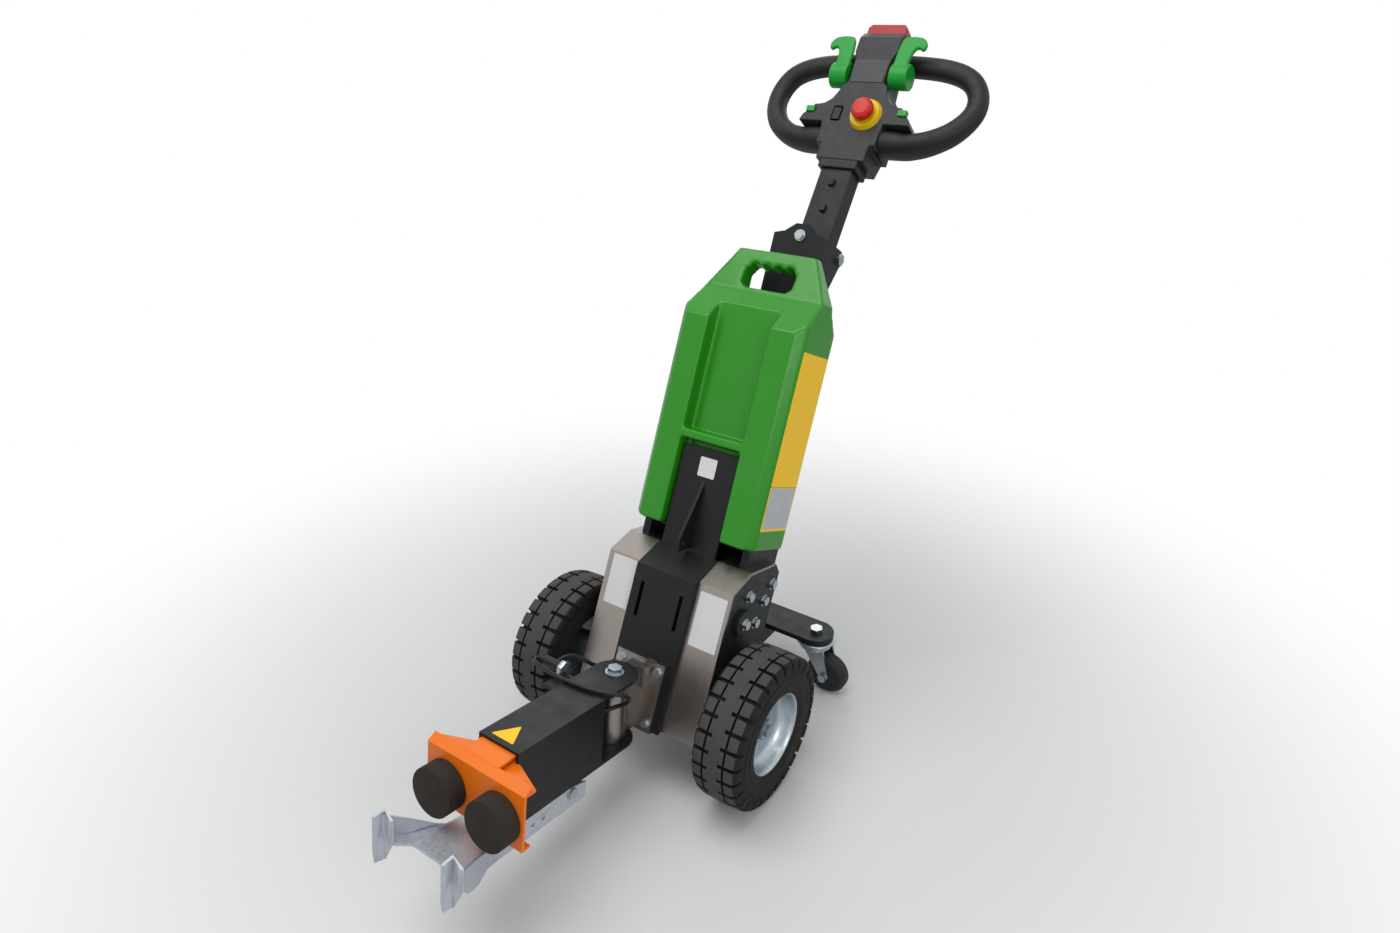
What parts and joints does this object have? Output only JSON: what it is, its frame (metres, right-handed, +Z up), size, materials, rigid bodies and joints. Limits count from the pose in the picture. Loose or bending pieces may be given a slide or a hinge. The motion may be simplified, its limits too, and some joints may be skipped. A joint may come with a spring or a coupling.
{
  "type": "walk behind electric tug",
  "caption": "Pedestrian electric tug with leaning chassis, green lift-off battery, loop-handled tiller, orange bumper arm and tilting lifting fork.",
  "frame": {"origin": "centre of the machine's footprint, on the floor", "axes": "+Z up, -Y towards the coupling at the front, +Y towards the tiller, +X to the machine's right seen from the front"},
  "size_m": [0.469, 1.2935, 1.1458],
  "materials": {
    "black_steel": "satin black powder coat",
    "stainless": "brushed stainless sheet",
    "zinc": "zinc plated",
    "cast_gear_case": "painted casting",
    "controller_case": "anodised",
    "tyre_rubber": "matte moulded rubber",
    "caster_rubber": "smooth rubber",
    "buffer_rubber": "matte rubber",
    "orange_coat": "satin orange powder coat",
    "black_plastic": "matte",
    "head_grey": "fine grained",
    "plate_grey": "satin",
    "battery_green": "gloss moulded",
    "paddle_green": "satin",
    "stop_yellow": "gloss",
    "stop_red": "gloss"
  },
  "bodies": {
    "chassis": {"front_spine": "black_steel", "front_plate_left": "stainless", "front_plate_right": "stainless", "side_plate_left": "black_steel", "side_plate_right": "black_steel", "rear_cover": "black_steel", "frame_rail_left": "black_steel", "frame_rail_right": "black_steel", "caster_beam": "black_steel", "mast": "black_steel", "mast_bracket": "black_steel", "hitch_bracket": "stainless", "chassis_bolts": "zinc", "arm_pivot_bolt": "zinc", "transaxle": "cast_gear_case", "drive_motor": "cast_gear_case", "motor_controller": "controller_case", "battery_tray": "black_steel", "contact_block": "black_plastic", "swing_lead": "black_plastic", "tiller_pivot_bolt": "zinc"},
    "drive_wheel_left": {"tyre_left": "tyre_rubber", "wheel_rim_left": "zinc", "wheel_hub_left": "cast_gear_case"},
    "drive_wheel_right": {"tyre_right": "tyre_rubber", "wheel_rim_right": "zinc", "wheel_hub_right": "cast_gear_case"},
    "caster_left": {"caster_fork_left": "zinc"},
    "caster_right": {"caster_fork_right": "zinc"},
    "caster_wheel_body_left": {"caster_wheel_left": "caster_rubber"},
    "caster_wheel_body_right": {"caster_wheel_right": "caster_rubber"},
    "arm": {"draw_arm": "black_steel", "bumper_plate": "orange_coat", "rubber_buffers": "buffer_rubber", "arm_bolts": "zinc", "actuator_body": "controller_case", "cable_connector": "black_plastic", "actuator_lead": "black_plastic"},
    "fork": {"lift_fork": "zinc", "fork_posts": "zinc", "fork_pin": "zinc"},
    "rod": {"actuator_rod": "zinc"},
    "battery": {"battery_case": "battery_green", "battery_blocks": "controller_case"},
    "tiller": {"tiller_tube": "black_steel", "control_head": "head_grey", "neck_block": "black_plastic", "grip_loop_left": "black_plastic", "grip_loop_right": "black_plastic", "stop_base": "stop_yellow", "name_plate": "plate_grey"},
    "stop": {"stop_button": "stop_red"},
    "paddles": {"thumb_paddles": "paddle_green"},
    "belly": {"belly_button": "stop_red"},
    "button_left": {"side_button_left": "paddle_green"},
    "button_right": {"side_button_right": "paddle_green"},
    "rocker": {"rocker_switch": "black_plastic"}
  },
  "joints": [
    {"name": "wheel_left_spin", "type": "hinge", "parent": "chassis", "child": "drive_wheel_left", "pos_m": [-0.192, -0.114, 0.13], "axis": [1, 0, 0], "continuous": true},
    {"name": "wheel_right_spin", "type": "hinge", "parent": "chassis", "child": "drive_wheel_right", "pos_m": [0.192, -0.114, 0.13], "axis": [1, 0, 0], "continuous": true},
    {"name": "caster_left_swivel", "type": "hinge", "parent": "chassis", "child": "caster_left", "pos_m": [-0.149, 0.176, 0.103], "axis": [0, 0, 1], "continuous": true},
    {"name": "caster_right_swivel", "type": "hinge", "parent": "chassis", "child": "caster_right", "pos_m": [0.149, 0.176, 0.103], "axis": [0, 0, 1], "continuous": true},
    {"name": "caster_left_spin", "type": "hinge", "parent": "caster_left", "child": "caster_wheel_body_left", "pos_m": [-0.179, 0.176, 0.04], "axis": [0, 1, 0], "continuous": true},
    {"name": "caster_right_spin", "type": "hinge", "parent": "caster_right", "child": "caster_wheel_body_right", "pos_m": [0.179, 0.176, 0.04], "axis": [0, 1, 0], "continuous": true},
    {"name": "arm_swing", "type": "hinge", "parent": "chassis", "child": "arm", "pos_m": [0, -0.24374, 0.16973], "axis": [0, 0.1788, 0.9839], "range_deg": [-40, 40], "deforming": ["swing_lead"]},
    {"name": "fork_tilt", "type": "hinge", "parent": "arm", "child": "fork", "pos_m": [0, -0.38708, 0.12484], "axis": [1, 0, 0], "range_deg": [0, 12]},
    {"name": "actuator_stroke", "type": "slide", "parent": "arm", "child": "rod", "axis": [0, -0.1788, -0.9839], "range_m": [0, 0.0195]},
    {"name": "battery_lift", "type": "slide", "parent": "chassis", "child": "battery", "axis": [0, 0.4067, 0.9135], "range_m": [0, 0.3]},
    {"name": "tiller_tilt", "type": "hinge", "parent": "chassis", "child": "tiller", "pos_m": [0, 0.36313, 0.77252], "axis": [1, 0, 0], "range_deg": [-20, 18]},
    {"name": "stop_press", "type": "slide", "parent": "tiller", "child": "stop", "axis": [0, 0.8141, -0.5807], "range_m": [0, 0.004], "stiffness_N_per_m": 800, "springref_m": -0.003},
    {"name": "thumb_throttle", "type": "hinge", "parent": "tiller", "child": "paddles", "pos_m": [0, 0.55428, 1.06117], "axis": [1, 0, 0], "range_deg": [-22, 22], "stiffness_Nm_per_rad": 3},
    {"name": "belly_press", "type": "slide", "parent": "tiller", "child": "belly", "axis": [0, -0.5807, -0.8141], "range_m": [0, 0.008], "stiffness_N_per_m": 1000, "springref_m": -0.003},
    {"name": "button_left_press", "type": "slide", "parent": "tiller", "child": "button_left", "axis": [0, 0.8141, -0.5807], "range_m": [0, 0.0025], "stiffness_N_per_m": 400, "springref_m": -0.002},
    {"name": "button_right_press", "type": "slide", "parent": "tiller", "child": "button_right", "axis": [0, 0.8141, -0.5807], "range_m": [0, 0.0025], "stiffness_N_per_m": 400, "springref_m": -0.002},
    {"name": "rocker_tilt", "type": "hinge", "parent": "tiller", "child": "rocker", "pos_m": [-0.036, 0.50015, 0.99906], "axis": [1, 0, 0], "range_deg": [-8, 8]}
  ],
  "couplings": [
    {"joint": "actuator_stroke", "follows": "fork_tilt", "m_per_rad": 0.0905}
  ]
}
